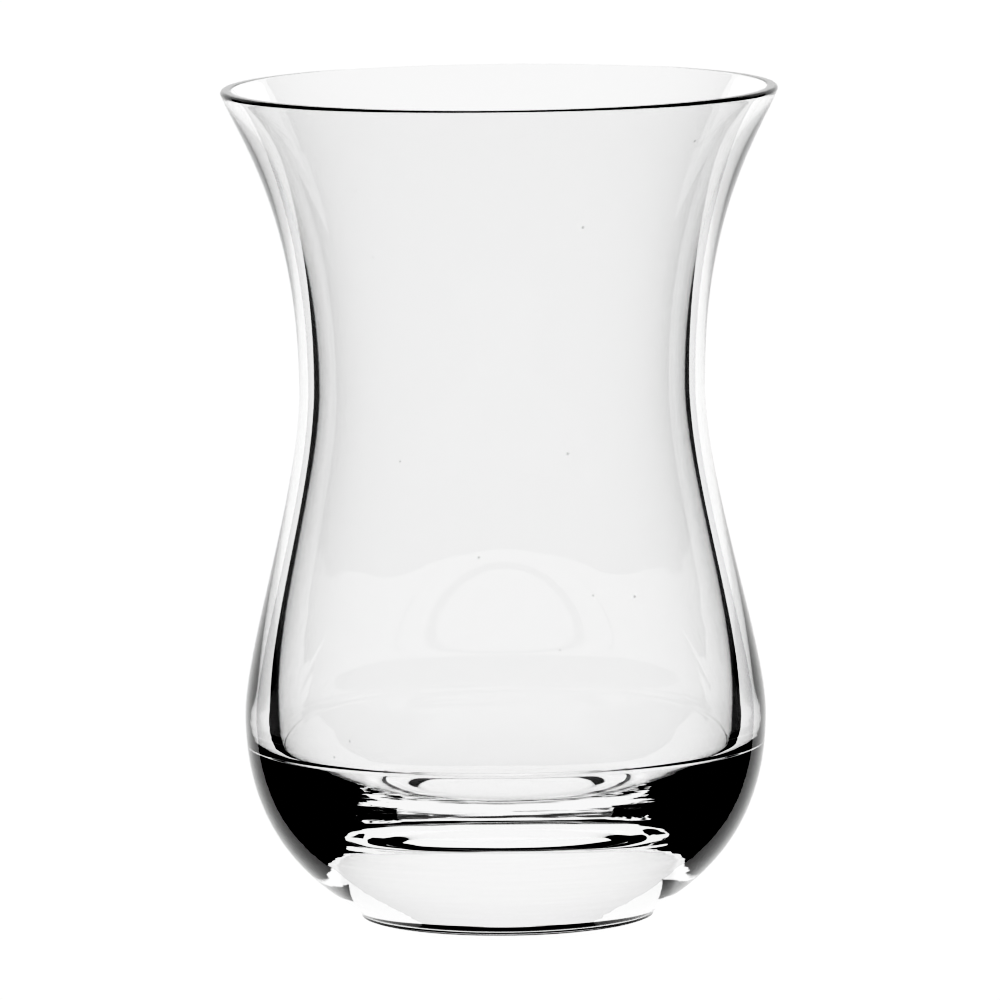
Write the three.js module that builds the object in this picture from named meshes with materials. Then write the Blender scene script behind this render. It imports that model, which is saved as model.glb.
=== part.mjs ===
// A small waisted tea glass of clear glass, standing empty: a flared mouth with a rounded lip,
// a narrow waist to hold it by, a round belly and a thick solid base that keeps it steady.
//
// The whole glass is one solid of revolution. Its outline is drawn in half section, once round from
// the middle of the underside to the outside, over the lip and down the inside to the middle of the floor.
//
// Units are millimetres and +Z is up. The origin is the middle of the circle that the glass stands on.
import * as THREE from "three";

// Outside, from the table up. A radius is the distance from the axis.
const HEIGHT = 90;
const FOOT_RADIUS = 13.15; // outer edge of the flat ring that touches the table
const FOOT_RING_WIDTH = 1.05;
const PUNT_DEPTH = 0.7; // hollow under the base, inside that ring
const PUNT_EDGE = 2.6; // width of the gentle slope round the hollow
const HEEL = { radius: 15.7, height: 0.95 }; // slight edge where the base meets the belly
const BELLY = { radius: 27.93, height: 22.6 }; // widest part of the lower body
const WAIST = { radius: 21.7, height: 57.95 }; // narrowest part
const LIP_LEAN = THREE.MathUtils.degToRad(22.7);
const LIP_EDGE_OUTSIDE = 0.35; // melted edges of the mouth
const LIP_EDGE_INSIDE = 0.25;
const MOUTH_RADIUS = 29.75;

// Inside. The wall thickens downwards to a faint crease, and turns there into the rounded bowl over the base.
const WALL_AT_LIP = 1.2;
const WALL_AT_WAIST = 2.1;
const CREASE = { radius: 24.34, height: 19.9, lean: THREE.MathUtils.degToRad(11.5) };
const BOWL_ROUNDING = 10.25; // radius of the corner between the wall and the floor
const BOWL_TURN = { start: THREE.MathUtils.degToRad(19.7), end: THREE.MathUtils.degToRad(37.5) };
const FLOOR = { radius: 13.2, height: 12.1 }; // flat middle of the inside

// How far a curve keeps to its direction as it leaves or meets a named height: a long pull is a flat stretch.
const PULL = {
  footOut: 0.3,
  heelUp: 1.7,
  bellyDown: 16.6,
  bellyUp: 7.5,
  waistDown: 10.9,
  waistUp: 18.4,
  lipDown: 5.2,
  creaseUp: 9.6,
  bowlIn: 1.7,
  floorOut: 4.5,
};

const SIDES = 64; // facets round the axis
const STEPS = { punt: 3, foot: 3, belly: 9, flank: 7, flare: 6, edge: 3, turn: 2, bowl: 6 };

const point = (radius, height) => new THREE.Vector2(radius, height);

// Points of a smooth curve in the half section: it leaves start along out, and comes into end against back.
function sweep(start, out, end, back, steps) {
  const curve = new THREE.CubicBezierCurve(start, start.clone().add(out), end.clone().add(back), end);
  return curve.getPoints(steps);
}

// Points of an arc in the half section, between two angles that are measured from outward.
function rounding(middle, radius, startAngle, endAngle, steps) {
  const arc = [];
  for (let i = 0; i <= steps; i++) {
    const angle = startAngle + ((endAngle - startAngle) * i) / steps;
    arc.push(point(Math.cos(angle), Math.sin(angle)).multiplyScalar(radius).add(middle));
  }
  return arc;
}

// A shallow hollow with a sloping edge, the flat ring that the glass stands on, and the edge up to the heel.
function underside() {
  const ringInside = FOOT_RADIUS - FOOT_RING_WIDTH;
  const slope = sweep(
    point(ringInside - PUNT_EDGE, PUNT_DEPTH),
    point(PUNT_EDGE / 2, 0),
    point(ringInside, 0),
    point(-PUNT_EDGE / 3, 0),
    STEPS.punt,
  );
  const edge = sweep(
    point(FOOT_RADIUS, 0),
    point(PULL.footOut, 0),
    point(HEEL.radius, HEEL.height),
    point(-HEEL.height, -HEEL.height / 3),
    STEPS.foot,
  );
  return [point(0, PUNT_DEPTH), ...slope, ...edge];
}

// The melted edge of the mouth, from its outer side over the flat top to its inner side.
function lip() {
  const outer = point(MOUTH_RADIUS - LIP_EDGE_OUTSIDE, HEIGHT - LIP_EDGE_OUTSIDE);
  const inner = point(MOUTH_RADIUS - WALL_AT_LIP + LIP_EDGE_INSIDE, HEIGHT - LIP_EDGE_INSIDE);
  const top = Math.PI / 2;
  return [
    ...rounding(outer, LIP_EDGE_OUTSIDE, -LIP_LEAN, top, STEPS.edge),
    ...rounding(inner, LIP_EDGE_INSIDE, top, Math.PI - LIP_LEAN, STEPS.edge),
  ];
}

// A wall from a low point to the lip, through the waist. The same pulls shape the outside and the inside.
function upperWall(low, lowOut, waistRadius, lipEdge) {
  const waist = point(waistRadius, WAIST.height);
  const lipBack = point(-Math.sin(LIP_LEAN), -Math.cos(LIP_LEAN)).multiplyScalar(PULL.lipDown);
  return [
    ...sweep(low, lowOut, waist, point(0, -PULL.waistDown), STEPS.flank),
    ...sweep(waist, point(0, PULL.waistUp), lipEdge, lipBack, STEPS.flare).slice(1),
  ];
}

function outside(lipEdge) {
  const heel = point(HEEL.radius, HEEL.height);
  const belly = point(BELLY.radius, BELLY.height);
  const lower = sweep(heel, point(0, PULL.heelUp), belly, point(0, -PULL.bellyDown), STEPS.belly);
  const upper = upperWall(belly, point(0, PULL.bellyUp), WAIST.radius, lipEdge);
  return [...lower.slice(1), ...upper.slice(1)];
}

// From the lip down over the crease and round the bowl to the middle of the floor.
function inside(lipEdge) {
  const crease = point(CREASE.radius, CREASE.height);
  const creaseOut = point(Math.sin(CREASE.lean), Math.cos(CREASE.lean)).multiplyScalar(PULL.creaseUp);
  const upper = upperWall(crease, creaseOut, WAIST.radius - WALL_AT_WAIST, lipEdge);
  const { start, end } = BOWL_TURN;
  const middle = point(Math.cos(start), -Math.sin(start)).multiplyScalar(-BOWL_ROUNDING).add(crease);
  const turn = rounding(middle, BOWL_ROUNDING, -start, -end, STEPS.turn);
  const bowlIn = point(-Math.sin(end), -Math.cos(end)).multiplyScalar(PULL.bowlIn);
  const floorEdge = point(FLOOR.radius, FLOOR.height);
  const bowl = sweep(turn.at(-1), bowlIn, floorEdge, point(PULL.floorOut, 0), STEPS.bowl);
  return [...upper.reverse(), ...turn.slice(1), ...bowl.slice(1), point(0, FLOOR.height)];
}

const edge = lip();
const outline = [...underside(), ...outside(edge[0]), ...edge.slice(1), ...inside(edge.at(-1)).slice(1)];
const shape = new THREE.LatheGeometry(outline, SIDES);
shape.rotateX(Math.PI / 2); // a lathe turns about Y, and the glass stands along Z

const clearGlass = new THREE.MeshStandardMaterial({
  color: 0xf2f6f6,
  roughness: 0.02,
  metalness: 0,
  transparent: true,
  opacity: 0.35,
});

const glass = new THREE.Mesh(shape, clearGlass);
glass.name = "glass";

const teaGlass = new THREE.Group();
teaGlass.add(glass);

export default teaGlass;
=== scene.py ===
import math

import bpy
import numpy as np
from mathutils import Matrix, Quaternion, Vector


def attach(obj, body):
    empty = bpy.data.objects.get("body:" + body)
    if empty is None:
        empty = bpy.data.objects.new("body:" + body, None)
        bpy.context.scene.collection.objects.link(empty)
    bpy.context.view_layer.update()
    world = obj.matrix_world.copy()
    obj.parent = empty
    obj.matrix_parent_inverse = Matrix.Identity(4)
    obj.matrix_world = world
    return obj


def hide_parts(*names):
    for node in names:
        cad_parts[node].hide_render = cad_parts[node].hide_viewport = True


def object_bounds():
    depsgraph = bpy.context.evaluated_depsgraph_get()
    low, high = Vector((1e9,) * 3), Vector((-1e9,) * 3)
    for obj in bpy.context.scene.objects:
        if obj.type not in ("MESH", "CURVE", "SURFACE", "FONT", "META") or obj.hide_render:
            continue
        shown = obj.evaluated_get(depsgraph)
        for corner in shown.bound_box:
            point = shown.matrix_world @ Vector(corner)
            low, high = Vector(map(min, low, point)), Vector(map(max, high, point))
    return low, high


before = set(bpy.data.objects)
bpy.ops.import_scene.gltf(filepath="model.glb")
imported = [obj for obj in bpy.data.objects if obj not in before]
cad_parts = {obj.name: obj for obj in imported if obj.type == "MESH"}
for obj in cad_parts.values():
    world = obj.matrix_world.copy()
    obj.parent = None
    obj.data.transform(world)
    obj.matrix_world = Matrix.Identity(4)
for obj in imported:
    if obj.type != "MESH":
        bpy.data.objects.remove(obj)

cad_low, cad_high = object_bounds()
MM = 0.001

# The photographer's camera: a long lens a little above the mouth of the glass, looking slightly down
# into it, and turned by less than a degree on its own axis.
CAMERA_DISTANCE = 1200 * MM
CAMERA_HEIGHT = 194 * MM
CAMERA_LENS = 406.6
AIM_SIDE = -0.36 * MM
AIM_HEIGHT = 45.6 * MM
CAMERA_ROLL = math.radians(0.62)

camera_data = bpy.data.cameras.new("camera")
camera_data.sensor_width = 36
camera_data.lens = CAMERA_LENS
camera_data.clip_end = 20
camera = bpy.data.objects.new("camera", camera_data)
bpy.context.scene.collection.objects.link(camera)
bpy.context.scene.camera = camera
eye = Vector((0, -CAMERA_DISTANCE, CAMERA_HEIGHT))
line_of_sight = Vector((AIM_SIDE, 0, AIM_HEIGHT)) - eye
camera.rotation_mode = "QUATERNION"
camera.location = eye
camera.rotation_quaternion = line_of_sight.to_track_quat("-Z", "Y") @ Quaternion((0, 0, 1), -CAMERA_ROLL)
bpy.context.view_layer.update()

# The studio: a lit white sheet behind the glass and an oval white table top that reaches from the glass
# towards the sheet, in a dark room. The sheet is wider above than below, and the room shows as black lines
# where the glass bends the view most. The sheet is square to the camera, so it stays behind in every view.
SHEET_BEHIND = 2.0
SHEET_LEFT = math.radians(35.5)
SHEET_RIGHT = math.radians(37)
SHEET_BOTTOM = math.radians(40)
SHEET_SHOULDER = math.radians(15.5)  # above this the sheet is wide
SHEET_WIDE = math.radians(54)
SHEET_TOP = math.radians(45)
SHEET_LIGHT = 1.025
TABLE_HALF_WIDTH, TABLE_HALF_DEPTH = 40 * MM, 90 * MM
TABLE_BACK = 75 * MM  # the middle of the table top lies this far behind the glass
TABLE_DROP = 0.02 * MM  # keeps the table clear of the ring that stands on it
TABLE_CORNERS = 96
PRINT_CURVE = ((0.14, 0.03), (0.5, 0.45), (0.8, 0.8))  # light, and the light as printed


def new_material(name, shader):
    """A material with one shader of the given kind, and that shader's node."""
    material = bpy.data.materials.new(name)
    material.use_nodes = True
    tree = material.node_tree
    tree.nodes.clear()
    surface = tree.nodes.new(shader)
    output = tree.nodes.new("ShaderNodeOutputMaterial")
    tree.links.new(surface.outputs[0], output.inputs["Surface"])
    return material, surface


def lit_panel(name, corners):
    """A single flat face through the corners, which gives out even white light."""
    material, light = new_material(name, "ShaderNodeEmission")
    light.inputs["Strength"].default_value = SHEET_LIGHT
    mesh = bpy.data.meshes.new(name)
    mesh.from_pydata(corners, [], [tuple(range(len(corners)))])
    mesh.materials.append(material)
    panel = bpy.data.objects.new(name, mesh)
    bpy.context.scene.collection.objects.link(panel)
    return panel


def on_sheet(angle):
    """How far from the middle of the sheet a direction meets it: the sheet's distance times the tangent."""
    return SHEET_BEHIND * math.tan(angle)


room = bpy.data.worlds.new("dark_room")
bpy.context.scene.world = room
room.use_nodes = True
room.node_tree.nodes["Background"].inputs["Color"].default_value = (0, 0, 0, 1)

depth = -(line_of_sight.length + SHEET_BEHIND)
left, right, wide = on_sheet(SHEET_LEFT), on_sheet(SHEET_RIGHT), on_sheet(SHEET_WIDE)
bottom, shoulder, top = on_sheet(SHEET_BOTTOM), on_sheet(SHEET_SHOULDER), on_sheet(SHEET_TOP)
sheet_corners = [
    (-left, -bottom, depth),
    (right, -bottom, depth),
    (right, shoulder, depth),
    (wide, shoulder, depth),
    (wide, top, depth),
    (-wide, top, depth),
    (-wide, shoulder, depth),
    (-left, shoulder, depth),
]
sheet = lit_panel("sheet", sheet_corners)
sheet.parent = camera

turn = np.linspace(0, 2 * np.pi, TABLE_CORNERS, endpoint=False)
table_x = TABLE_HALF_WIDTH * np.cos(turn)
table_y = TABLE_BACK + TABLE_HALF_DEPTH * np.sin(turn)
table_rim = np.stack([table_x, table_y, np.full_like(turn, -TABLE_DROP)], axis=1)
lit_panel("table", table_rim.tolist())

# The picture is printed with a little more contrast than the light itself has, as product photos are.
print_settings = bpy.context.scene.view_settings
print_settings.view_transform = "Standard"
print_settings.use_curve_mapping = True
for light, printed in PRINT_CURVE:
    print_settings.curve_mapping.curves[3].points.new(light, printed)
print_settings.curve_mapping.update()

# The glass: one piece of clear soda-lime glass, blown in a mould. The outside takes the mould's form. The
# inside is left by the air: thin at the fire-polished lip, thicker downwards, and turning at a faint crease
# into the rounded bowl over the solid base. The outline is worked out in millimetres.
HEIGHT = cad_high.z / MM
MOUTH_RADIUS = cad_high.x / MM
FOOT_RADIUS = 13.15
FOOT_RING_INSIDE = 12.1
HOLLOW_DEPTH, HOLLOW_EDGE = 0.7, 2.6  # under the base, with a gentle slope round it
HEEL = (15.7, 0.95)
BELLY = (27.93, 22.6)
WAIST_RADIUS, WAIST_HEIGHT = 21.7, 57.95
WALL_AT_WAIST = 2.1
LIP_LEAN = math.radians(22.7)
LIP_WIDTH = 1.2
LIP_EDGE_OUT, LIP_EDGE_IN = 0.35, 0.25  # melted edges of the mouth
CREASE = (24.34, 19.9)
CREASE_LEAN = math.radians(11.5)
BOWL_ROUNDING = 10.25
BOWL_START, BOWL_END = math.radians(19.7), math.radians(37.5)
RIDGE_DEPTH, RIDGE_WIDTH, RIDGE_DROP = 0.06, 0.15, 0.3  # a fine ridge just below the crease
FLOOR_EDGE = (13.2, 12.1)
GLASS_SIDES = 256

# How far a curve keeps to its direction as it leaves or meets a named place.
HOLLOW_PULL = 3
FOOT_OUT, HEEL_BACK = 0.3, (-1.1, -0.37)
HEEL_UP = 1.7
BELLY_DOWN, BELLY_UP = 16.6, 7.5
WAIST_DOWN, WAIST_UP = 10.9, 18.4
LIP_DOWN = 5.2
CREASE_UP = 9.6
BOWL_IN = 1.7
FLOOR_OUT, FLOOR_IN = 4.5, 4


def along(angle, length):
    """A step leaning outward from upright in the half section: length times sine and cosine of the angle."""
    return (length * math.sin(angle), length * math.cos(angle))


def sweep(start, out, end, back, steps):
    """Cubic curve in the half section: leaves start along out and comes into end against back."""
    t = np.linspace(0, 1, steps + 1)[:, None]
    p0, p3 = np.array(start), np.array(end)
    p1, p2 = p0 + np.array(out), p3 + np.array(back)
    return (1 - t) ** 3 * p0 + 3 * (1 - t) ** 2 * t * p1 + 3 * (1 - t) * t**2 * p2 + t**3 * p3


def rounding(middle, radius, start, end, steps):
    """Arc in the half section: middle plus the radius turned from start to end, as angles from outward."""
    angle = np.linspace(start, end, steps + 1)
    return np.array(middle) + radius * np.stack([np.cos(angle), np.sin(angle)], axis=1)


def wall(low, low_out, waist_radius, lip):
    """From the belly to the lip through the waist: two cubic curves that meet upright at the waist."""
    waist = (waist_radius, WAIST_HEIGHT)
    flank = sweep(low, low_out, waist, (0, -WAIST_DOWN), 40)
    flare = sweep(waist, (0, WAIST_UP), lip, along(LIP_LEAN, -LIP_DOWN), 40)
    return np.vstack([flank, flare[1:]])


def underside():
    """A shallow hollow, its sloping edge, the ring that the glass stands on, and the edge up to the heel."""
    slope_start = (FOOT_RING_INSIDE - HOLLOW_EDGE, HOLLOW_DEPTH)
    hollow = sweep((0, HOLLOW_DEPTH), (HOLLOW_PULL, 0), slope_start, (-HOLLOW_PULL, 0), 12)
    slope = sweep(slope_start, (HOLLOW_EDGE / 2, 0), (FOOT_RING_INSIDE, 0), (-HOLLOW_EDGE / 3, 0), 12)
    edge = sweep((FOOT_RADIUS, 0), (FOOT_OUT, 0), HEEL, HEEL_BACK, 12)
    return np.vstack([hollow, slope[1:], edge])


def rounded_bowl():
    """From the crease to the middle of the floor. The ridge narrows the radius by a bell curve in height."""
    middle_x = CREASE[0] - BOWL_ROUNDING * math.cos(BOWL_START)
    middle_z = CREASE[1] + BOWL_ROUNDING * math.sin(BOWL_START)
    bend = rounding((middle_x, middle_z), BOWL_ROUNDING, -BOWL_START, -BOWL_END, 48)
    bend[:, 0] -= RIDGE_DEPTH * np.exp(-(((bend[:, 1] - CREASE[1] + RIDGE_DROP) / RIDGE_WIDTH) ** 2))
    toe = sweep(bend[-1], along(BOWL_END, -BOWL_IN), FLOOR_EDGE, (FLOOR_OUT, 0), 40)
    floor = sweep(FLOOR_EDGE, (-FLOOR_IN, 0), (0, FLOOR_EDGE[1]), (FLOOR_IN, 0), 8)
    return np.vstack([bend, toe[1:], floor[1:]])


def half_section():
    """The outline, from the middle of the underside round the outside and over the lip to the floor."""
    out_middle = (MOUTH_RADIUS - LIP_EDGE_OUT, HEIGHT - LIP_EDGE_OUT)
    in_middle = (MOUTH_RADIUS - LIP_WIDTH + LIP_EDGE_IN, HEIGHT - LIP_EDGE_IN)
    lip_out = rounding(out_middle, LIP_EDGE_OUT, -LIP_LEAN, math.pi / 2, 14)
    lip_in = rounding(in_middle, LIP_EDGE_IN, math.pi / 2, math.pi - LIP_LEAN, 10)
    belly_below = sweep(HEEL, (0, HEEL_UP), BELLY, (0, -BELLY_DOWN), 48)
    outside = wall(BELLY, (0, BELLY_UP), WAIST_RADIUS, lip_out[0])
    bowl = rounded_bowl()
    inside = wall(CREASE, along(CREASE_LEAN, CREASE_UP), WAIST_RADIUS - WALL_AT_WAIST, lip_in[-1])[::-1]
    upper = [belly_below[1:], outside[1:], lip_out[1:], lip_in, inside[1:]]
    return np.vstack([underside(), *upper, bowl[1:]])


def revolved(name, outline, sides):
    """Point (angle, step): the outline's radius turned round Z by the angle, at the outline's height."""
    outline = outline * MM
    rings = outline[1:-1]
    angle = np.linspace(0, 2 * np.pi, sides, endpoint=False)
    x = rings[:, :1] * np.cos(angle)
    y = rings[:, :1] * np.sin(angle)
    z = np.repeat(rings[:, 1:], sides, axis=1)
    points = np.stack([x, y, z], axis=2).reshape(-1, 3)
    ends = [(0, 0, outline[0, 1]), (0, 0, outline[-1, 1])]
    points = np.vstack([points, ends])
    row = np.arange(len(rings) - 1)[:, None] * sides
    here = np.arange(sides)
    after = (here + 1) % sides
    corners = [row + here, row + after, row + sides + after, row + sides + here]
    quads = np.stack(corners, axis=2).reshape(-1, 4)
    under, floor = len(points) - 2, len(points) - 1
    last = (len(rings) - 1) * sides
    fan_low = [(under, b, a) for a, b in zip(here.tolist(), after.tolist())]
    fan_high = [(floor, last + a, last + b) for a, b in zip(here.tolist(), after.tolist())]
    mesh = bpy.data.meshes.new(name)
    mesh.from_pydata(points.tolist(), [], quads.tolist() + fan_low + fan_high)
    mesh.update()
    mesh.polygons.foreach_set("use_smooth", [True] * len(mesh.polygons))
    return mesh


# Faint rings left by the mould and the air, strongest in the base, and a few specks of dust.
RINGS_PER_METRE = (40, 40, 700)  # the rings are flat and close together
RING_RELIEF = 0.03 * MM
RINGS_FULL_BELOW, RINGS_FAINT_ABOVE = 12 * MM, 24 * MM
FAINT = 0.01
SPECK_CELLS = 110.0  # per metre
SPECK_INSIDE, SPECK_OUTSIDE = 0.012, 0.022  # in cells
SPECK_DARKNESS = 0.5


class Value:
    """Wraps a socket of a shader, so that arithmetic on it adds Math nodes."""

    def __init__(self, tree, socket):
        self.tree = tree
        self.socket = socket

    def node(self, kind, settings, outlet, **sockets):
        """Adds a node of any kind: its settings first, then its sockets, and gives one outlet."""
        made = self.tree.nodes.new(kind)
        for name, setting in settings.items():
            setattr(made, name, setting)
        for name, wanted in sockets.items():
            key = int(name[1:]) if name[0] == "n" and name[1:].isdigit() else name.replace("_", " ")
            inlet = made.inputs[key]
            if isinstance(wanted, Value):
                self.tree.links.new(wanted.socket, inlet)
            else:
                inlet.default_value = wanted
        return Value(self.tree, made.outputs[outlet])

    def ramp(self, start, end, first, last):
        """Goes evenly from first to last as the value goes from start to end, and stays there beyond."""
        limits = {"From_Min": start, "From_Max": end, "To_Min": first, "To_Max": last}
        return self.node("ShaderNodeMapRange", {}, 0, Value=self, **limits)

    def __mul__(self, other):
        return self.node("ShaderNodeMath", {"operation": "MULTIPLY"}, 0, n0=self, n1=other)

    def __rsub__(self, other):
        return self.node("ShaderNodeMath", {"operation": "SUBTRACT"}, 0, n0=other, n1=self)

    __rmul__ = __mul__


glass_material, clear = new_material("clear_glass", "ShaderNodeBsdfPrincipled")
clear.inputs["Roughness"].default_value = 0
clear.inputs["IOR"].default_value = 1.52
clear.inputs["Transmission Weight"].default_value = 1

tree = glass_material.node_tree
place = Value(tree, tree.nodes.new("ShaderNodeTexCoord").outputs["Object"])
flattened = place.node("ShaderNodeVectorMath", {"operation": "MULTIPLY"}, 0, n0=place, n1=RINGS_PER_METRE)
waves = place.node("ShaderNodeTexNoise", {}, "Fac", Vector=flattened, Scale=1.0, Detail=2.0)
height = place.node("ShaderNodeSeparateXYZ", {}, "Z", Vector=place)
in_base = height.ramp(RINGS_FULL_BELOW, RINGS_FAINT_ABOVE, 1.0, FAINT)
rippled = place.node("ShaderNodeBump", {}, 0, Strength=1.0, Distance=RING_RELIEF, Height=waves * in_base)
tree.links.new(rippled.socket, clear.inputs["Normal"])
cells = {"Vector": place, "Scale": SPECK_CELLS, "Randomness": 1.0}
nearest = place.node("ShaderNodeTexVoronoi", {"feature": "F1"}, "Distance", **cells)
speck = nearest.ramp(SPECK_INSIDE, SPECK_OUTSIDE, 1.0, 0.0)
clean = 1.0 - SPECK_DARKNESS * speck
tint = place.node("ShaderNodeCombineColor", {}, 0, Red=clean, Green=clean, Blue=clean)
tree.links.new(tint.socket, clear.inputs["Base Color"])

glass_mesh = revolved("glass_body", half_section(), GLASS_SIDES)
glass_mesh.materials.append(glass_material)
glass = bpy.data.objects.new("glass_body", glass_mesh)
bpy.context.scene.collection.objects.link(glass)
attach(glass, "root")
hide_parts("glass")
